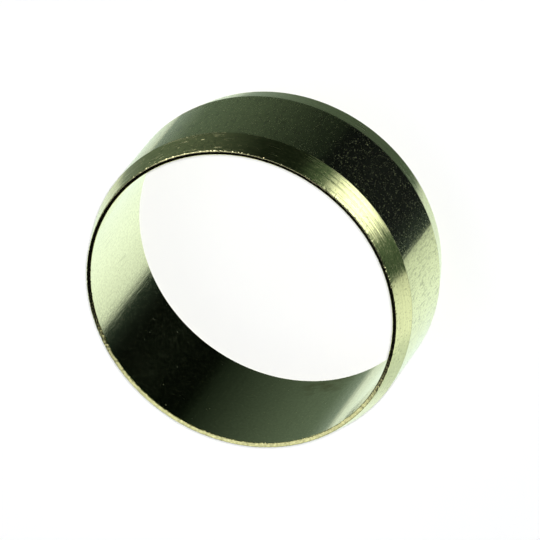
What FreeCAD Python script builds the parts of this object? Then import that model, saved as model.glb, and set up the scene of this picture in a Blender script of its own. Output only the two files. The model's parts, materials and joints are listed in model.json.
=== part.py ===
# Compression olive: the turned brass ring that seals a 22 mm pipe in a compression fitting.
#
# The ring is one solid. Its bore slides over the pipe, its outside is a plain cylinder, the crest, and
# each end is turned to a shallow cone that the fitting's body and nut close on. The cones leave a thin
# end face, and both corners of that face are rounded. The ring stands on its lower end: its axis is +Z
# and the origin is the centre of that end. All lengths are in millimetres.

import FreeCAD, Part
import Sketcher
import os

NODE = "olive_ring"

# Driving sizes: name, value, what it is.
SIZES = (
    ("tube_diameter", 22.0, "outside diameter of the pipe"),
    ("bore_clearance", 0.15, "how much wider the bore is than the pipe"),
    ("ring_length", 10.0, "from end face to end face"),
    ("crest_wall", 0.82, "wall between the bore and the crest"),
    ("cone_length", 1.95, "length of each cone along the axis"),
    ("end_wall", 0.30, "wall where each cone meets its end face, before rounding"),
    ("rim_round", 0.06, "radius between each cone and its end face"),
    ("mouth_round", 0.05, "radius between the bore and each end face"),
)

# The section's three radii, from the sheet.
BORE_RADIUS = "(Sizes.tube_diameter + Sizes.bore_clearance) / 2"
RIM_RADIUS = f"{BORE_RADIUS} + Sizes.end_wall"
CREST_RADIUS = f"{BORE_RADIUS} + Sizes.crest_wall"

# Sketch elements that constraints refer to by number: the horizontal axis and the points on a line.
AXIS_LINE = -1
START = 1
END = 2

# Two circles are the same edge when radius and height agree this closely.
EDGE_TOLERANCE = 1e-4


def add_sheet(doc):
    """The spreadsheet with the driving sizes."""
    sheet = doc.addObject("Spreadsheet::Sheet", "Sizes")
    for row, (name, value, meaning) in enumerate(SIZES, start=1):
        sheet.set(f"A{row}", name)
        sheet.set(f"B{row}", str(value))
        sheet.set(f"C{row}", meaning)
        sheet.setAlias(f"B{row}", name)
    doc.recompute()
    return sheet


def section_radii(sheet):
    """Radii of the bore, of the sharp corner at the rim and of the crest."""
    bore = (sheet.tube_diameter + sheet.bore_clearance) / 2
    return bore, bore + sheet.end_wall, bore + sheet.crest_wall


def section_corners(sheet):
    """Corners of the section beside the axis, from the bore's lower mouth round the outside."""
    bore, rim, crest = section_radii(sheet)
    top = sheet.ring_length
    return [
        FreeCAD.Vector(bore, 0, 0),
        FreeCAD.Vector(rim, 0, 0),
        FreeCAD.Vector(crest, sheet.cone_length, 0),
        FreeCAD.Vector(crest, top - sheet.cone_length, 0),
        FreeCAD.Vector(rim, top, 0),
        FreeCAD.Vector(bore, top, 0),
    ]


def bind(sketch, name, expression, *constraint):
    """Adds a sized constraint and ties it to the sheet."""
    index = sketch.addConstraint(Sketcher.Constraint(*constraint))
    sketch.renameConstraint(index, name)
    sketch.setExpression(f"Constraints.{name}", expression)


def add_section(body, sheet):
    """The section: lower end face, lower cone, crest, upper cone, upper end face and bore."""
    sketch = body.newObject("Sketcher::SketchObject", "RingSection")
    planes = body.Origin.OriginFeatures
    section_plane = next(plane for plane in planes if plane.Role == "XZ_Plane")
    sketch.AttachmentSupport = [(section_plane, "")]
    sketch.MapMode = "FlatFace"

    corners = section_corners(sheet)
    following = corners[1:] + corners[:1]
    lines = [Part.LineSegment(start, end) for start, end in zip(corners, following)]
    numbers = sketch.addGeometry(lines, False)
    for number, after in zip(numbers, numbers[1:] + numbers[:1]):
        sketch.addConstraint(Sketcher.Constraint("Coincident", number, END, after, START))

    lower_end, lower_cone, crest_line, upper_cone, upper_end, bore_line = numbers
    for line in (lower_end, upper_end):
        sketch.addConstraint(Sketcher.Constraint("Horizontal", line))
    for line in (crest_line, bore_line):
        sketch.addConstraint(Sketcher.Constraint("Vertical", line))
    sketch.addConstraint(Sketcher.Constraint("PointOnObject", lower_end, START, AXIS_LINE))

    bore, rim, crest = section_radii(sheet)
    length, cone = sheet.ring_length, sheet.cone_length
    from_axis = ("DistanceX", AXIS_LINE, START)
    bind(sketch, "bore_radius", BORE_RADIUS, *from_axis, lower_end, START, bore)
    bind(sketch, "crest_radius", CREST_RADIUS, *from_axis, crest_line, START, crest)
    bind(sketch, "lower_rim_radius", RIM_RADIUS, *from_axis, lower_end, END, rim)
    bind(sketch, "upper_rim_radius", RIM_RADIUS, *from_axis, upper_end, START, rim)
    ends = ("DistanceY", lower_end, START, upper_end, END)
    bind(sketch, "ring_length", "Sizes.ring_length", *ends, length)
    for name, line in (("lower_cone", lower_cone), ("upper_cone", upper_cone)):
        bind(sketch, name, "Sizes.cone_length", "DistanceY", line, START, line, END, cone)
    return sketch


def add_turning(body, sketch):
    """The section turned once round the axis."""
    turning = body.newObject("PartDesign::Revolution", "Turning")
    turning.Profile = sketch
    turning.ReferenceAxis = (sketch, ["V_Axis"])
    turning.Angle = 360


def end_circles(shape, radius, length):
    """Names of the circles of that radius on the two end faces."""
    found = []
    for number, edge in enumerate(shape.Edges, start=1):
        if not isinstance(edge.Curve, Part.Circle):
            continue
        height = edge.Curve.Center.z
        on_an_end = min(abs(height), abs(height - length)) < EDGE_TOLERANCE
        if on_an_end and abs(edge.Curve.Radius - radius) < EDGE_TOLERANCE:
            found.append(f"Edge{number}")
    return found


def add_rounding(doc, body, name, radius, length, size_name):
    """Rounds the corner of that radius at both ends of the ring."""
    doc.recompute()
    base = body.Tip
    rounding = body.newObject("PartDesign::Fillet", name)
    rounding.Base = (base, end_circles(base.Shape, radius, length))
    rounding.setExpression("Radius", f"Sizes.{size_name}")


def add_ring(doc, sheet):
    """The whole olive."""
    body = doc.addObject("PartDesign::Body", "OliveRing")
    body.Label = NODE
    add_turning(body, add_section(body, sheet))
    bore, rim, _ = section_radii(sheet)
    add_rounding(doc, body, "RimCorners", rim, sheet.ring_length, "rim_round")
    add_rounding(doc, body, "MouthCorners", bore, sheet.ring_length, "mouth_round")
    doc.recompute()
    return body


def check(doc, body):
    """Stops if a feature failed or the ring isn't one valid solid."""
    for item in doc.Objects:
        if {"Invalid", "Error"} & set(item.State):
            raise RuntimeError(f"{item.Name} failed: {item.State}")
    shape = body.Shape
    if shape.isNull() or not shape.isValid() or len(shape.Solids) != 1:
        raise RuntimeError(f"{body.Label} isn't one valid solid")


def main():
    doc = FreeCAD.newDocument("CompressionOlive")
    sheet = add_sheet(doc)
    body = add_ring(doc, sheet)
    check(doc, body)
    os.makedirs("parts", exist_ok=True)
    body.Shape.exportStep(f"parts/{body.Label}.step")
    print(f"{body.Label}: volume {body.Shape.Volume:.2f} mm3, {len(body.Shape.Faces)} faces")


main()
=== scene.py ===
# Looks of the compression olive: the turned ring, its brass finishes, the studio and the camera.
#
# Lengths are in metres. The ring stands on the floor with its axis on +Z, and the camera looks down at it
# from -Y, rolled as the photograph is.

import json
import math
import bpy
from mathutils import Matrix, Vector, noise


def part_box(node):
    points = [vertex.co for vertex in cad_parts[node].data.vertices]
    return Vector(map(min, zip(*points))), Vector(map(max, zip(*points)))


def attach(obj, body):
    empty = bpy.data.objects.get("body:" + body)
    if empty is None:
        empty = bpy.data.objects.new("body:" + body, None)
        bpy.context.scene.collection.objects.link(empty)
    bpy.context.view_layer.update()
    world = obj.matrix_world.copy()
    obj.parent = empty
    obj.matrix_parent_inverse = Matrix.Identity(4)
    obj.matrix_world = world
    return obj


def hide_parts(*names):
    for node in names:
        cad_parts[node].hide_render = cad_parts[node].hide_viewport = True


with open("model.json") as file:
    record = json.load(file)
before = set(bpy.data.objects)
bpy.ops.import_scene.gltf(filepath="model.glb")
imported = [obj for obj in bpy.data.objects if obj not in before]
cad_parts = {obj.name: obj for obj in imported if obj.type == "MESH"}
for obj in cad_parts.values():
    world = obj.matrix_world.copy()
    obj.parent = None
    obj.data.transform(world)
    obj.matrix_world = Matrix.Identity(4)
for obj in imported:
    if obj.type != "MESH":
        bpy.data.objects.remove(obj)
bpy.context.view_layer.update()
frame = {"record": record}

MM = 0.001

# The ring's sizes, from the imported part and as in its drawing.
RING_LOW, RING_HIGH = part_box("olive_ring")
RING_LENGTH = RING_HIGH[2] - RING_LOW[2]
CREST_RADIUS = min(-RING_LOW[0], -RING_LOW[1], RING_HIGH[0], RING_HIGH[1])
TUBE_BORE = next(mount for mount in frame["record"]["mounts"] if mount["name"] == "tube_bore")
BORE_RADIUS = TUBE_BORE["dims"]["r_mm"] * MM
CONE_LENGTH = 1.95 * MM
END_WALL = 0.30 * MM
RIM_ROUND = 0.06 * MM
MOUTH_ROUND = 0.05 * MM

# Fine form that the turning leaves: dished ends, and at the upper end a burr in the mouth, highest on one
# side, and a nicked rim, each down to its reach from the end.
END_DISH = math.radians(8)
BURR_HEIGHT = 0.13 * MM
BURR_TURN = math.radians(100)
BURR_REACH = MOUTH_ROUND * 1.2
NICK_DEPTH = 0.05 * MM
NICK_REACH = RIM_ROUND * 1.01

# How quickly burr and nicks change, in a radian round the ring and in a metre of height, and the finer
# change on top of that.
RAGGED_AROUND = 60
RAGGED_UP = 400
RAGGED_FINER = 2.7
RAGGED_FINER_SHARE = 0.6

# How finely the ring is divided: round the axis, in each rounded corner, and along the straight runs of the
# section, with points close to the ends of a run where the surface has to stay flat. Faces that turn further
# than the sharp turn meet in a sharp edge.
AROUND = 1440
ARC_STEPS = 6
FACE_SHARES = (0.2, 0.4, 0.6)
CONE_SHARES = (0.02, 0.2, 0.4, 0.6, 0.8, 0.98)
CREST_SHARES = (0.01, 0.25, 0.5, 0.75, 0.99)
BORE_SHARES = (0.006, 0.012, 0.02, 0.5, 0.98, 0.988, 0.994)
SHARP_TURN = math.radians(12)

# Zones of the section, in the order of the material slots.
BORE, END, CONE, CREST = range(4)


def arc(centre, radius, first, last):
    """Points on an arc of the section, its angles in degrees from outwards towards up."""
    points = []
    for step in range(ARC_STEPS + 1):
        angle = math.radians(first + (last - first) * step / ARC_STEPS)
        points.append((centre[0] + radius * math.cos(angle), centre[1] + radius * math.sin(angle)))
    return points


def run(start, end, shares):
    """Points between the two ends of a straight run, at these shares of its length."""
    return [tuple(a + (b - a) * share for a, b in zip(start, end)) for share in shares]


def end_section():
    """The upper end from the bore to the crest: (radius, height from the end face) and zone after it."""
    cone_slope = math.atan2(CREST_RADIUS - BORE_RADIUS - END_WALL, CONE_LENGTH)
    corner = RIM_ROUND * math.tan((math.pi / 2 - cone_slope) / 2)
    rim_centre = (BORE_RADIUS + END_WALL - corner, -RIM_ROUND)
    dish_drop = (rim_centre[0] - BORE_RADIUS - MOUTH_ROUND) * math.tan(END_DISH)
    mouth_centre = (BORE_RADIUS + MOUTH_ROUND, -MOUTH_ROUND - dish_drop)
    mouth = arc(mouth_centre, MOUTH_ROUND, 180, 90 + math.degrees(END_DISH))
    rim = arc(rim_centre, RIM_ROUND, 90, math.degrees(cone_slope))
    crest_edge = (CREST_RADIUS, -CONE_LENGTH)
    points = [(point, END) for point in mouth + run(mouth[-1], rim[0], FACE_SHARES)]
    points += [(point, CONE) for point in rim + run(rim[-1], crest_edge, CONE_SHARES)]
    points += [(crest_edge, CREST)]
    return points


def ring_section():
    """The closed section, up the bore and down the outside: radius, height and zone of each stretch."""
    upper = [(radius, RING_LENGTH + drop, zone) for (radius, drop), zone in end_section()]
    crest_points = run(upper[-1][:2], (CREST_RADIUS, CONE_LENGTH), CREST_SHARES)
    crest = [(radius, height, CREST) for radius, height in crest_points]
    mirrored = [(radius, RING_LENGTH - height, zone) for radius, height, zone in upper]
    lower = []
    for index in range(len(mirrored) - 1, -1, -1):
        radius, height, _ = mirrored[index]
        zone = mirrored[index - 1][2] if index else BORE
        lower.append((radius, height, zone))
    bore_points = run(lower[-1][:2], upper[0][:2], BORE_SHARES)
    bore = [(radius, height, BORE) for radius, height in bore_points]
    return upper + crest + lower + bore


def ragged(angle, height):
    """An uneven run round the ring, nothing in some places and at most 1."""
    around = (math.cos(angle) * RAGGED_AROUND, math.sin(angle) * RAGGED_AROUND)
    place = Vector((*around, height * RAGGED_UP))
    uneven = noise.noise(place) + RAGGED_FINER_SHARE * noise.noise(place * RAGGED_FINER)
    return min(1.0, max(0.0, uneven))


def worn_inwards(radius, height, angle):
    """How far a point at the upper end moves inwards: the burr at the mouth and the nicks in the rim."""
    depth = RING_LENGTH - height
    if radius <= BORE_RADIUS + MOUTH_ROUND and depth <= BURR_REACH:
        return BURR_HEIGHT * ragged(angle, height) * max(0.0, math.cos(angle - BURR_TURN))
    if radius >= BORE_RADIUS + END_WALL - RIM_ROUND and depth <= NICK_REACH:
        return NICK_DEPTH * ragged(angle, height)
    return 0.0


def ring_mesh():
    """The ring as one closed mesh, with a material slot for each kind of surface."""
    section = ring_section()
    count = len(section)
    vertices = []
    for step in range(AROUND):
        angle = math.tau * step / AROUND
        for radius, height, _ in section:
            reach = radius - worn_inwards(radius, height, angle)
            vertices.append((reach * math.cos(angle), reach * math.sin(angle), height))
    faces = []
    zones = []
    for step in range(AROUND):
        here = step * count
        after = (step + 1) % AROUND * count
        for index in range(count):
            following = (index + 1) % count
            faces.append((here + index, here + following, after + following, after + index))
            zones.append(section[index][2])
    mesh = bpy.data.meshes.new("turned_olive")
    mesh.from_pydata(vertices, [], faces)
    mesh.polygons.foreach_set("material_index", zones)
    mesh.shade_smooth()
    mesh.update()
    mesh.set_sharp_from_angle(angle=SHARP_TURN)
    return mesh


def put(name, data):
    """An object in the scene, at the origin."""
    made = bpy.data.objects.new(name, data)
    bpy.context.scene.collection.objects.link(made)
    return made


def make_ring():
    """The ring with its four finishes."""
    made = put("turned_olive", ring_mesh())
    for material in (bore_material(), end_material(), cone_material(), crest_material()):
        made.data.materials.append(material)
    return made


# Nodes that the materials and the world are made of.
def add(tree, kind, inputs=None, **settings):
    """A node with its settings; inputs are values or the sockets to link from."""
    made = tree.nodes.new(kind)
    for name, value in settings.items():
        setattr(made, name, value)
    for name, value in (inputs or {}).items():
        if isinstance(value, bpy.types.NodeSocket):
            tree.links.new(value, made.inputs[name])
        else:
            made.inputs[name].default_value = value
    return made


def math_node(tree, operation, first, second=0.0):
    """A sum, a product or another operation on one or two values."""
    return add(tree, "ShaderNodeMath", {0: first, 1: second}, operation=operation).outputs[0]


def step_node(tree, value, span):
    """0 below the span, 1 above it and smooth between."""
    inputs = {"Value": value, "From Min": span[0], "From Max": span[1]}
    made = add(tree, "ShaderNodeMapRange", inputs, interpolation_type="SMOOTHSTEP")
    return made.outputs["Result"]


def span_node(tree, value, span, out=(0.0, 1.0)):
    """A straight change from one end of out to the other over the span, held beyond it."""
    inputs = {"Value": value, "From Min": span[0], "From Max": span[1], "To Min": out[0], "To Max": out[1]}
    return add(tree, "ShaderNodeMapRange", inputs).outputs["Result"]


def mix_node(tree, share, first, second):
    """A colour between two colours."""
    made = add(tree, "ShaderNodeMix", data_type="RGBA")
    for name, value in (("Factor", share), ("A", first), ("B", second)):
        kind = "VALUE" if name == "Factor" else "RGBA"
        socket = next(s for s in made.inputs if s.name == name and s.type == kind)
        if isinstance(value, bpy.types.NodeSocket):
            tree.links.new(value, socket)
        elif kind == "RGBA":
            socket.default_value = (*value, 1)
        else:
            socket.default_value = value
    return next(s for s in made.outputs if s.type == "RGBA")


def place_on_object(tree):
    """The place of a point in its object's own frame."""
    return add(tree, "ShaderNodeTexCoord").outputs["Object"]


def toward(tree, place, target):
    """How far a place or a direction lies towards the target, as a dot product."""
    inputs = {0: place, 1: tuple(target)}
    return add(tree, "ShaderNodeVectorMath", inputs, operation="DOT_PRODUCT").outputs["Value"]


def grain(tree, per_mm, detail=2.0, roughness=0.5):
    """Noise from 0 to 1 over the ring, with so many features in a millimetre along X, Y and Z."""
    scale = tuple(rate / MM for rate in per_mm)
    placed = add(tree, "ShaderNodeMapping", {"Vector": place_on_object(tree), "Scale": scale})
    inputs = {"Vector": placed.outputs["Vector"], "Scale": 1.0, "Detail": detail, "Roughness": roughness}
    return add(tree, "ShaderNodeTexNoise", inputs).outputs["Fac"]


def bump(tree, height, depth, before=None):
    """A bump whose height of 1 stands for depth, over any bump before it."""
    inputs = {"Height": height, "Distance": depth, "Strength": 1.0}
    if before is not None:
        inputs["Normal"] = before
    return add(tree, "ShaderNodeBump", inputs).outputs["Normal"]


def empty_material(name):
    """A material without nodes, and its tree."""
    material = bpy.data.materials.new(name)
    material.use_nodes = True
    material.node_tree.nodes.clear()
    return material, material.node_tree


def metal(name, colour_of, roughness_of, normal_of, film=0.0):
    """A metal whose colour, roughness and normal come from the three functions, with so much dull film."""
    material, tree = empty_material(name)
    inputs = {"Metallic": 1.0, "Coat Weight": film, "Coat Roughness": FILM_ROUGHNESS}
    for socket, value_of in (("Base Color", colour_of), ("Roughness", roughness_of), ("Normal", normal_of)):
        inputs[socket] = value_of(tree)
    shader = add(tree, "ShaderNodeBsdfPrincipled", inputs)
    add(tree, "ShaderNodeOutputMaterial", {"Surface": shader.outputs["BSDF"]})
    return material


def shade(colour, factor):
    """A colour made darker or lighter."""
    return tuple(channel * factor for channel in colour)


# The middle level of a noise, and the levels between which a second noise breaks thin lines off.
NOISE_MIDDLE = 0.5
LINE_BREAKS = (0.54, 0.66)


def level_line(tree, uneven, half_width):
    """A line where a noise has its middle level, fading over that change of the noise to each side."""
    off_line = math_node(tree, "ABSOLUTE", math_node(tree, "SUBTRACT", uneven, NOISE_MIDDLE))
    return span_node(tree, off_line, (0.0, half_width), (1.0, 0.0))


def thin_lines(tree, per_mm, half_width, where):
    """Thin lines along the middle level of a noise, broken off where another noise is low."""
    line = level_line(tree, grain(tree, per_mm), half_width)
    return math_node(tree, "MULTIPLY", line, step_node(tree, where, LINE_BREAKS))


# Brass as each surface shows it. Two of these hold painted light: the bore's brass is painted brighter,
# and the cut ends' brass is painted a warmer yellow.
# The bore's brass, painted brighter than the crest's drawn brass: painted light for what the bore mirrors.
BORE_BRASS_PAINTED_BRIGHTER = (0.99, 0.97, 0.68)
DRAWN_BRASS = (0.80, 0.795, 0.47)
TURNED_BRASS = (0.845, 0.80, 0.47)
# The cut ends' brass, painted a warmer yellow: painted warm light from above.
CUT_BRASS_PAINTED_WARM = (0.83, 0.78, 0.40)

# The bore's finish: how dark its grain and scratches are, how rough it is, also in its specks, and how deep
# its lines and its grain are.
BORE_GRAIN_SHADE = 0.86
BORE_SCRATCH_SHADE = 0.78
BORE_ROUGHNESS = (0.08, 0.16)
BORE_SPECK_ROUGHNESS = 0.4
BORE_LINE_DEPTH = 0.004 * MM
BORE_GRAIN_DEPTH = 0.002 * MM

# The side of the bore that is dull with very fine lines along the axis, by its turn from +X and the shares
# of the radius that it lies between, and the depth of the lines.
DULL_TURN = math.radians(65)
DULL_SHARES = (0.6, 0.95)
DULL_DEPTH = 0.0016 * MM

# A brown stain inside the far end of the bore, by its turn from +X, its height and its reach, and how much
# of the brass it covers.
STAIN_BROWN = (0.50, 0.40, 0.20)
STAIN_TURN = math.radians(140)
STAIN_HEIGHT = 0.9 * MM
STAIN_REACH = 4.0 * MM
STAIN_SHARE = 0.75


def stain(tree):
    """How strongly the bore is stained: most at the stain's place, in broken patches."""
    centre = (BORE_RADIUS * math.cos(STAIN_TURN), BORE_RADIUS * math.sin(STAIN_TURN), STAIN_HEIGHT)
    ends = {0: place_on_object(tree), 1: centre}
    away = add(tree, "ShaderNodeVectorMath", ends, operation="DISTANCE").outputs["Value"]
    near = span_node(tree, away, (0.0, STAIN_REACH), (1.0, 0.0))
    patches = math_node(tree, "MULTIPLY", near, grain(tree, (0.9, 0.9, 2.0), detail=4.0))
    return span_node(tree, patches, (0.25, 0.55), (0.0, STAIN_SHARE))


def dull_side(tree):
    """How far a point lies in the bore's dull side."""
    across = toward(tree, place_on_object(tree), (math.cos(DULL_TURN), math.sin(DULL_TURN), 0))
    return step_node(tree, across, [BORE_RADIUS * share for share in DULL_SHARES])


def bore_material():
    """Drawn brass inside the ring with painted light, brighter than the crest's: fine grain, lines and
    scratches along the axis, specks and a stain.
    """
    def colour(tree):
        fine = span_node(tree, grain(tree, (6, 6, 5), detail=3.0), (0.35, 0.65))
        clean = mix_node(tree, fine, shade(BORE_BRASS_PAINTED_BRIGHTER, BORE_GRAIN_SHADE), BORE_BRASS_PAINTED_BRIGHTER)
        scratches = thin_lines(tree, (1.3, 1.3, 0.12), 0.02, grain(tree, (0.5, 0.5, 0.4)))
        scratched = mix_node(tree, scratches, clean, shade(BORE_BRASS_PAINTED_BRIGHTER, BORE_SCRATCH_SHADE))
        return mix_node(tree, stain(tree), scratched, STAIN_BROWN)

    def roughness(tree):
        mottle = span_node(tree, grain(tree, (5, 5, 4), detail=3.0), (0.38, 0.7), BORE_ROUGHNESS)
        specks = step_node(tree, grain(tree, (5, 5, 3)), (0.73, 0.77))
        rough = math_node(tree, "MULTIPLY", specks, BORE_SPECK_ROUGHNESS)
        return math_node(tree, "MAXIMUM", mottle, rough)

    def normal(tree):
        lines = bump(tree, grain(tree, (3, 3, 0.03)), BORE_LINE_DEPTH)
        fine_lines = math_node(tree, "MULTIPLY", grain(tree, (60, 60, 0.4)), dull_side(tree))
        lines = bump(tree, fine_lines, DULL_DEPTH, lines)
        return bump(tree, grain(tree, (7, 7, 6)), BORE_GRAIN_DEPTH, lines)

    return metal("drawn_bore", colour, roughness, normal)


# The crest's finish: how light it is between its marks and how dark they are, how rough it is, also in its
# specks, how deep its lines and its grain are, and the dull film on it.
CREST_CLEAN_SHADE = 1.04
CREST_PIT_SHADE = 0.64
CREST_SCRATCH_SHADE = 0.75
CREST_DASH_SHADE = 0.66
CREST_CRACK_SHADE = 0.5
CREST_ROUGHNESS = (0.04, 0.16)
CREST_SPECK_ROUGHNESS = (0.25, 0.5)
CREST_LINE_DEPTH = 0.004 * MM
CREST_GRAIN_DEPTH = 0.001 * MM
CREST_FILM = 0.42
FILM_ROUGHNESS = 0.5


def cracks(tree):
    """Fine dark lines that wander over the crest in places."""
    line = level_line(tree, grain(tree, (0.6, 0.6, 0.6), detail=4.0, roughness=0.6), 0.016)
    places = step_node(tree, grain(tree, (0.9, 0.9, 0.9)), (0.49, 0.62))
    return math_node(tree, "MULTIPLY", line, places)


def crest_material():
    """Drawn brass outside the ring: gritty, with pits, cracks and lines along the axis."""
    def colour(tree):
        pits = step_node(tree, grain(tree, (9, 9, 4), detail=3.0, roughness=0.6), (0.48, 0.72))
        scratches = thin_lines(tree, (2.2, 2.2, 0.2), 0.04, grain(tree, (0.5, 0.5, 0.5)))
        dashes = step_node(tree, grain(tree, (6, 6, 1.4)), (0.56, 0.66))
        marked = shade(DRAWN_BRASS, CREST_CLEAN_SHADE)
        for marks, dark in (
            (pits, CREST_PIT_SHADE),
            (scratches, CREST_SCRATCH_SHADE),
            (dashes, CREST_DASH_SHADE),
            (cracks(tree), CREST_CRACK_SHADE),
        ):
            marked = mix_node(tree, marks, marked, shade(DRAWN_BRASS, dark))
        return marked

    def roughness(tree):
        mottle = span_node(tree, grain(tree, (9, 9, 9)), (0.48, 0.78), CREST_ROUGHNESS)
        specks = step_node(tree, grain(tree, (12, 12, 11)), (0.5, 0.74))
        patches = span_node(tree, grain(tree, (2.5, 2.5, 2)), (0.35, 0.65), CREST_SPECK_ROUGHNESS)
        return math_node(tree, "MAXIMUM", mottle, math_node(tree, "MULTIPLY", specks, patches))

    def normal(tree):
        lines = bump(tree, grain(tree, (4, 4, 0.01)), CREST_LINE_DEPTH)
        return bump(tree, grain(tree, (6, 6, 5), detail=3.0), CREST_GRAIN_DEPTH, lines)

    return metal("drawn_crest", colour, roughness, normal, film=CREST_FILM)


# The cones' finish: how light the dull and the bright marks of the tool are on the lower and the upper
# cone, how dark pits and corner are, how rough the cones are, also where they are worn, how strong the marks
# are on the lower cone, and how deep each kind of mark and the chips are. The corner with the crest is worn
# over a narrow band.
# The lower cone's shades are painted brighter than the crest's drawn brass: painted light for what it
# mirrors.
LOWER_CONE_SHADES_PAINTED_BRIGHTER = (1.02, 1.18)
UPPER_CONE_SHADES = (0.85, 1.05)
CONE_PIT_SHADE = 0.6
CORNER_SHADE = 0.66
CONE_ROUGHNESS = (0.11, 0.26)
WORN_ROUGHNESS = 0.42
LOWER_MARKS = 0.3
TOOL_MARKS = (
    ((0.12, 0.12, 2.2), 0.022 * MM),
    ((0.2, 0.2, 5), 0.012 * MM),
    ((0.3, 0.3, 9), 0.005 * MM),
)
CHIP_DEPTH = 0.008 * MM
CORNER_WEAR = 0.09 * MM

# The shares of the ring's length between which its lower cone's finish changes to the upper one's.
CONE_CHANGE = (0.45, 0.55)


def height_on_object(tree):
    """The height of a point in its object's own frame."""
    return toward(tree, place_on_object(tree), (0, 0, 1))


def upper_share(tree):
    """0 on the lower cone and 1 on the upper one."""
    return step_node(tree, height_on_object(tree), [RING_LENGTH * share for share in CONE_CHANGE])


def corner_band(tree):
    """A narrow band on the cone along its corner with the crest."""
    middle = RING_LENGTH / 2
    above_middle = math_node(tree, "SUBTRACT", height_on_object(tree), middle)
    from_middle = math_node(tree, "ABSOLUTE", above_middle)
    corner = middle - CONE_LENGTH
    return span_node(tree, from_middle, (corner, corner + CORNER_WEAR), (1.0, 0.0))


def corner_wear(tree):
    """Where the corner between cone and crest is worn rough, in broken stretches."""
    stretches = step_node(tree, grain(tree, (1.5, 1.5, 1.5), detail=3.0), (0.42, 0.6))
    return math_node(tree, "MULTIPLY", corner_band(tree), stretches)


def cone_material():
    """Turned brass on the cones: marks of the tool round the ring, strongest on the upper cone, with specks
    along them and a worn corner at the crest. The lower cone's brass is painted brighter, as painted light."""
    def colour(tree):
        upper = upper_share(tree)
        marks = span_node(tree, grain(tree, (0.6, 0.6, 5), detail=3.0), (0.2, 0.8))
        dull, bright = (
            mix_node(tree, upper, shade(DRAWN_BRASS, lower_shade_painted_brighter), shade(TURNED_BRASS, upper_shade))
            for lower_shade_painted_brighter, upper_shade in zip(LOWER_CONE_SHADES_PAINTED_BRIGHTER, UPPER_CONE_SHADES)
        )
        turned = mix_node(tree, marks, dull, bright)
        pits = step_node(tree, grain(tree, (6, 6, 6), detail=3.0), (0.54, 0.72))
        pitted = mix_node(tree, pits, turned, shade(TURNED_BRASS, CONE_PIT_SHADE))
        return mix_node(tree, corner_band(tree), pitted, shade(TURNED_BRASS, CORNER_SHADE))

    def roughness(tree):
        mottle = step_node(tree, grain(tree, (4, 4, 8), detail=3.0), (0.42, 0.76))
        even = span_node(tree, mottle, (0.0, 1.0), CONE_ROUGHNESS)
        streaks = thin_lines(tree, (0.1, 0.1, 4), 0.03, grain(tree, (0.4, 0.4, 1.5)))
        worn = math_node(tree, "MAXIMUM", streaks, corner_wear(tree))
        return math_node(tree, "MAXIMUM", even, math_node(tree, "MULTIPLY", worn, WORN_ROUGHNESS))

    def normal(tree):
        strength = span_node(tree, upper_share(tree), (0.0, 1.0), (LOWER_MARKS, 1.0))
        turned = None
        for per_mm, depth in TOOL_MARKS:
            marks = math_node(tree, "MULTIPLY", grain(tree, per_mm), strength)
            turned = bump(tree, marks, depth, turned)
        chips = step_node(tree, grain(tree, (1.1, 1.1, 12)), (0.66, 0.8))
        return bump(tree, math_node(tree, "MULTIPLY", chips, strength), CHIP_DEPTH, turned)

    return metal("turned_cone", colour, roughness, normal)


# The end faces' finish: how dark and how light their patches are, how rough they are, and the grain's depth.
END_SHADES = (0.55, 1.15)
END_ROUGHNESS = (0.04, 0.1)
END_GRAIN_DEPTH = 0.005 * MM


def end_material():
    """Cut brass on the narrow end faces, painted a warmer yellow as painted warm light from above, with a
    ragged grain.
    """
    def colour(tree):
        patches = span_node(tree, grain(tree, (4, 4, 9), detail=4.0, roughness=0.65), (0.32, 0.68))
        dark, light = (shade(CUT_BRASS_PAINTED_WARM, factor) for factor in END_SHADES)
        return mix_node(tree, patches, dark, light)

    def roughness(tree):
        return span_node(tree, grain(tree, (10, 10, 10)), (0.3, 0.7), END_ROUGHNESS)

    def normal(tree):
        return bump(tree, grain(tree, (5, 5, 5), detail=3.0), END_GRAIN_DEPTH)

    return metal("cut_end", colour, roughness, normal)


# The studio that the metal mirrors, lit slightly green. It has a pale side with a grey card on it, a dim
# side that darkens towards the camera and ends in gloom there, a dim panel, and lamps low on the camera's
# side, overhead and at the side. Each is a direction in the ring's frame.
PALE_SIDE = Vector((-0.5285, 0.83, 0.18)).normalized()
GREY_CARD = Vector((-0.66, 0.42, -0.62)).normalized()
GLOOM_SIDE = Vector((-0.30, -1.0, 0.0))
GLOOM_SIDE_RIGHT = Vector((-1.0, -1.3, 0.595))
DIM_PANEL = Vector((-0.769, -0.518, -0.375)).normalized()
LOW_LAMP = Vector((-0.330, -0.898, -0.2924)).normalized()
TOP_LAMP = Vector((0.202, 0.282, 0.938)).normalized()
SIDE_LAMP = Vector((0.978, -0.208, 0.03)).normalized()

# Where the studio's sides begin and are full, by how far a direction lies towards each. The haze is only on
# the view's left, and the gloom is deepest low down.
PALE_EDGE = (0.2, 0.22)
HAZE_SPAN = (-0.22, 0.0)
HAZE_LEFT = (-0.12, 0.1)
DIM_SPAN = (-0.445, 0.455)
GLOOM_EDGE = (0.46, 0.485)
GLOOM_RIGHT_EDGE = (0.0, 0.1)
GLOOM_HEIGHTS = (-0.8, -0.5)
ROOM_TOP = (0.3, 0.4)

# How many degrees from the middle of a lamp, its glow, a panel or a card it begins and is full.
GREY_CARD_FADE = (20, 8)
DIM_PANEL_FADE = (26, 12)
LOW_GLOW_FADE = (39, 22)
LOW_LAMP_FADE = (24.7, 4.8)
TOP_LAMP_FADE = (20.5, 15)
SIDE_LAMP_FADE = (26, 12)

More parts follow.
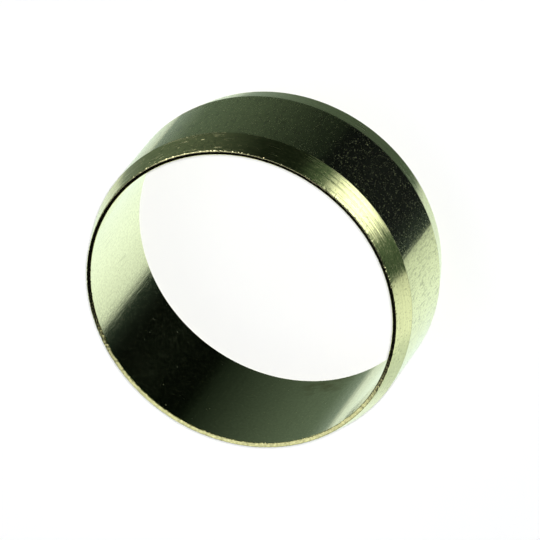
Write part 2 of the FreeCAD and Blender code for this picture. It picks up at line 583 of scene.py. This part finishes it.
# The studio's colours.
ROOM_TINT = (0.62, 1.0, 0.62)
DIM_FAR = shade((0.72, 1.0, 0.73), 0.155)
DIM_NEAR = shade(ROOM_TINT, 0.014)
HAZE = shade((0.80, 1.0, 0.88), 0.27)
GLOOM_LOW = shade(ROOM_TINT, 0.002)
GLOOM_HIGH = shade(ROOM_TINT, 0.014)
DIM_PANEL_COLOUR = shade(ROOM_TINT, 0.08)
LOW_GLOW_COLOUR = shade(ROOM_TINT, 0.13)
LOW_LAMP_COLOUR = (2.2, 2.4, 2.15)
TOP_LAMP_COLOUR = (0.95, 1.0, 0.97)
SIDE_LAMP_COLOUR = (3.0, 3.0, 2.8)
CEILING = (0.003, 0.003, 0.003)
GREY_CARD_COLOUR = (0.66, 0.80, 0.70)
PALE_FAR = (0.92, 1.06, 0.93)
PALE_NEAR = (0.68, 0.78, 0.67)


def spot(tree, direction, middle, fade):
    """A soft round spot in the studio, 1 within the fade and 0 outside it."""
    outside, within = (math.cos(math.radians(degrees)) for degrees in fade)
    return step_node(tree, toward(tree, direction, middle), (outside, within))


def dim_side(tree, direction):
    """The side away from the pale one: dim, hazy on the left, and gloomy towards the camera."""
    gloom = toward(tree, direction, GLOOM_SIDE)
    dim = mix_node(tree, span_node(tree, gloom, DIM_SPAN), DIM_FAR, DIM_NEAR)
    hazy = span_node(tree, toward(tree, direction, PALE_SIDE), HAZE_SPAN)
    left = step_node(tree, toward(tree, direction, (1, 0, 0)), HAZE_LEFT)
    dim = mix_node(tree, math_node(tree, "MULTIPLY", hazy, left), dim, HAZE)
    gloom_right = step_node(tree, toward(tree, direction, GLOOM_SIDE_RIGHT), GLOOM_RIGHT_EDGE)
    gloomy = math_node(tree, "MAXIMUM", step_node(tree, gloom, GLOOM_EDGE), gloom_right)
    rising = span_node(tree, toward(tree, direction, (0, 0, 1)), GLOOM_HEIGHTS)
    return mix_node(tree, gloomy, dim, mix_node(tree, rising, GLOOM_LOW, GLOOM_HIGH))


def studio_colour(tree, direction):
    """The studio's colour in a direction."""
    room = dim_side(tree, direction)
    for middle, fade, colour in (
        (DIM_PANEL, DIM_PANEL_FADE, DIM_PANEL_COLOUR),
        (LOW_LAMP, LOW_GLOW_FADE, LOW_GLOW_COLOUR),
        (LOW_LAMP, LOW_LAMP_FADE, LOW_LAMP_COLOUR),
    ):
        room = mix_node(tree, spot(tree, direction, middle, fade), room, colour)
    pale = mix_node(tree, spot(tree, direction, GREY_CARD, GREY_CARD_FADE), PALE_FAR, GREY_CARD_COLOUR)
    on_pale_side = step_node(tree, toward(tree, direction, PALE_SIDE), PALE_EDGE)
    below = mix_node(tree, on_pale_side, room, pale)
    above = mix_node(tree, spot(tree, direction, TOP_LAMP, TOP_LAMP_FADE), CEILING, TOP_LAMP_COLOUR)
    over_room = step_node(tree, toward(tree, direction, (0, 0, 1)), ROOM_TOP)
    whole = mix_node(tree, over_room, below, above)
    return mix_node(tree, spot(tree, direction, SIDE_LAMP, SIDE_LAMP_FADE), whole, SIDE_LAMP_COLOUR)


def make_world():
    """The studio as a world of soft panels."""
    world = bpy.data.worlds.new("studio")
    world.use_nodes = True
    tree = world.node_tree
    tree.nodes.clear()
    direction = add(tree, "ShaderNodeTexCoord").outputs["Generated"]
    inputs = {"Color": studio_colour(tree, direction), "Strength": 1.0}
    background = add(tree, "ShaderNodeBackground", inputs)
    add(tree, "ShaderNodeOutputWorld", {"Surface": background.outputs["Background"]})
    bpy.context.scene.world = world


# The card at the near edge of the pale side: two points on that edge, how far it turns inwards before the
# first one, how wide and how long to each side the card is, and the share of its width over which it gets
# paler. Along the edge the card has a dimmer lip, and a faint slate strip lies before it.
CARD_EDGE = (Vector((-88.8, -25.0, -163.6)) * MM, Vector((154.1, 139.9, -201.8)) * MM)
EDGE_BEND = 0.065
EDGE_SOFTNESS = 0.4 * MM
CARD_WIDTH = 104 * MM
CARD_REACH = 455 * MM
CARD_PALER = 0.7
LIP_WIDTH = 12 * MM
LIP_SHADE = 0.6
STRIP_WIDTH = 52 * MM
STRIP_FALLOFF = 2.0
SLATE = (0.022, 0.036, 0.027)
BLACK = (0, 0, 0)

# The card's own directions and its middle.
CARD_ALONG = (CARD_EDGE[1] - CARD_EDGE[0]).normalized()
CARD_INWARD = (PALE_SIDE - CARD_ALONG * PALE_SIDE.dot(CARD_ALONG)).normalized()
CARD_MIDDLE = (CARD_EDGE[0] + CARD_EDGE[1]) / 2


def card_mesh():
    """The card and the strip before its edge, as one flat face."""
    ends = [CARD_MIDDLE - CARD_ALONG * CARD_REACH, CARD_MIDDLE + CARD_ALONG * CARD_REACH]
    corners = [end - CARD_INWARD * STRIP_WIDTH for end in ends]
    corners += [end + CARD_INWARD * CARD_WIDTH for end in reversed(ends)]
    mesh = bpy.data.meshes.new("pale_card")
    mesh.from_pydata([tuple(corner) for corner in corners], [], [(0, 1, 2, 3)])
    return mesh


def inside_edge(tree):
    """How far a point of the card lies inside its edge."""
    place = place_on_object(tree)
    from_line = math_node(tree, "SUBTRACT", toward(tree, place, CARD_INWARD), CARD_MIDDLE.dot(CARD_INWARD))
    first = CARD_EDGE[0].dot(CARD_ALONG)
    past_first = math_node(tree, "SUBTRACT", toward(tree, place, CARD_ALONG), first)
    before_first = math_node(tree, "MINIMUM", past_first, 0.0)
    return math_node(tree, "ADD", from_line, math_node(tree, "MULTIPLY", before_first, EDGE_BEND))


def card_material():
    """A pale card with a soft edge, and before it a faint strip that can be seen through."""
    material, tree = empty_material("pale_card")
    inside = inside_edge(tree)
    paler = step_node(tree, inside, (0.0, CARD_WIDTH * CARD_PALER))
    lip = span_node(tree, inside, (0.0, LIP_WIDTH), (LIP_SHADE, 1.0))
    pale_colour = mix_node(tree, paler, PALE_NEAR, PALE_FAR)
    pale = add(tree, "ShaderNodeEmission", {"Color": pale_colour, "Strength": lip})
    nearing = span_node(tree, inside, (-STRIP_WIDTH, 0.0))
    faint = math_node(tree, "POWER", nearing, STRIP_FALLOFF)
    slate_colour = mix_node(tree, faint, BLACK, SLATE)
    slate = add(tree, "ShaderNodeEmission", {"Color": slate_colour, "Strength": 1.0})
    clear = add(tree, "ShaderNodeBsdfTransparent")
    strip = add(tree, "ShaderNodeAddShader", {0: slate.outputs["Emission"], 1: clear.outputs["BSDF"]})
    on_card = step_node(tree, inside, (-EDGE_SOFTNESS, EDGE_SOFTNESS))
    both = {0: on_card, 1: strip.outputs["Shader"], 2: pale.outputs["Emission"]}
    shader = add(tree, "ShaderNodeMixShader", both)
    add(tree, "ShaderNodeOutputMaterial", {"Surface": shader.outputs["Shader"]})
    return material


def make_card():
    """The near edge of the pale side: a card that only the metal mirrors, close enough for its edge to fall
    at another turn in the bore than on the crest."""
    card = put("pale_card", card_mesh())
    card.data.materials.append(card_material())
    card.visible_camera = False
    card.visible_diffuse = False
    card.visible_shadow = False


# The view, from the ellipses that the ring's edges make: the camera's tilt, roll and distance, where the
# upper end's centre lies beside the view's middle, and the lens.
VIEW_TILT = math.radians(32.69)
CAMERA_ROLL = math.radians(217.56)
CAMERA_DISTANCE = 553.8 * MM
AIM_RIGHT = -2.047 * MM
AIM_DOWN = 2.111 * MM
FOCAL_PIXELS = 8000
IMAGE_PIXELS = 540
SENSOR_MM = 36
CLIP_START = 0.01
CLIP_END = 10


def camera_place():
    """Where the photograph was taken from, by the place of the upper end's centre in it."""
    turn = Matrix.Rotation(VIEW_TILT, 4, "X") @ Matrix.Rotation(CAMERA_ROLL, 4, "Z")
    aim = turn @ Vector((AIM_RIGHT, -AIM_DOWN, -CAMERA_DISTANCE))
    upper_end = Vector((0, 0, RING_LENGTH))
    return Matrix.Translation(upper_end - aim) @ turn


def make_camera():
    """The photograph's view."""
    lens = bpy.data.cameras.new("camera")
    lens.sensor_width = SENSOR_MM
    lens.lens = FOCAL_PIXELS / IMAGE_PIXELS * SENSOR_MM
    lens.clip_start = CLIP_START
    lens.clip_end = CLIP_END
    camera = put("camera", lens)
    camera.matrix_world = camera_place()
    bpy.context.scene.camera = camera


# The front light's power and size.
FRONT_POWER = 42.0
FRONT_RADIUS = 8 * MM


def make_front_light():
    """A light where the photograph was taken from, so the ring's shadow falls behind the ring. It is as
    strong at the backdrop as at the ring, and the metal doesn't mirror it."""
    lamp = bpy.data.lights.new("front_light", "POINT")
    lamp.energy = FRONT_POWER
    lamp.shadow_soft_size = FRONT_RADIUS
    lamp.use_nodes = True
    tree = lamp.node_tree
    even = add(tree, "ShaderNodeLightFalloff", {"Strength": 1.0}).outputs["Constant"]
    tree.links.new(even, tree.nodes["Emission"].inputs["Strength"])
    holder = put("front_light", lamp)
    holder.matrix_world = camera_place()
    holder.visible_glossy = False


# The floor and the sweep that it rises in, and how finely they are divided.
FLOOR_COLOUR = (0.955, 0.948, 0.965)
FLOOR_ROUGHNESS = 0.9
FLOOR_RADIUS = 0.8
FLOOR_AROUND = 96
SWEEP_RADIUS = 0.4
SWEEP_STEPS = 16


def floor_mesh():
    """A flat disc that rises in a quarter round all round."""
    rings = []
    for step in range(SWEEP_STEPS + 1):
        angle = math.pi / 2 * step / SWEEP_STEPS
        radius = FLOOR_RADIUS + SWEEP_RADIUS * math.sin(angle)
        rings.append((radius, SWEEP_RADIUS * (1 - math.cos(angle))))
    vertices = [(0.0, 0.0, 0.0)]
    for radius, height in rings:
        for step in range(FLOOR_AROUND):
            angle = math.tau * step / FLOOR_AROUND
            vertices.append((radius * math.cos(angle), radius * math.sin(angle), height))
    faces = []
    for step in range(FLOOR_AROUND):
        after = (step + 1) % FLOOR_AROUND
        faces.append((0, 1 + step, 1 + after))
        for ring_number in range(SWEEP_STEPS):
            inner = 1 + ring_number * FLOOR_AROUND
            outer = inner + FLOOR_AROUND
            faces.append((inner + step, outer + step, outer + after, inner + after))
    mesh = bpy.data.meshes.new("floor")
    mesh.from_pydata(vertices, [], faces)
    mesh.shade_smooth()
    return mesh


def make_floor():
    """A pale floor that rises into a backdrop. It isn't mirrored, and it lights and shades nothing."""
    material, tree = empty_material("floor")
    inputs = {"Base Color": (*FLOOR_COLOUR, 1), "Roughness": FLOOR_ROUGHNESS, "Specular IOR Level": 0.0}
    shader = add(tree, "ShaderNodeBsdfPrincipled", inputs)
    add(tree, "ShaderNodeOutputMaterial", {"Surface": shader.outputs["BSDF"]})
    floor = put("floor", floor_mesh())
    floor.data.materials.append(material)
    floor.visible_glossy = False
    floor.visible_diffuse = False
    floor.visible_shadow = False


ring = make_ring()
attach(ring, "root")
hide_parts("olive_ring")

make_world()
make_card()
make_front_light()
make_floor()
make_camera()
bpy.context.scene.view_settings.view_transform = "Standard"
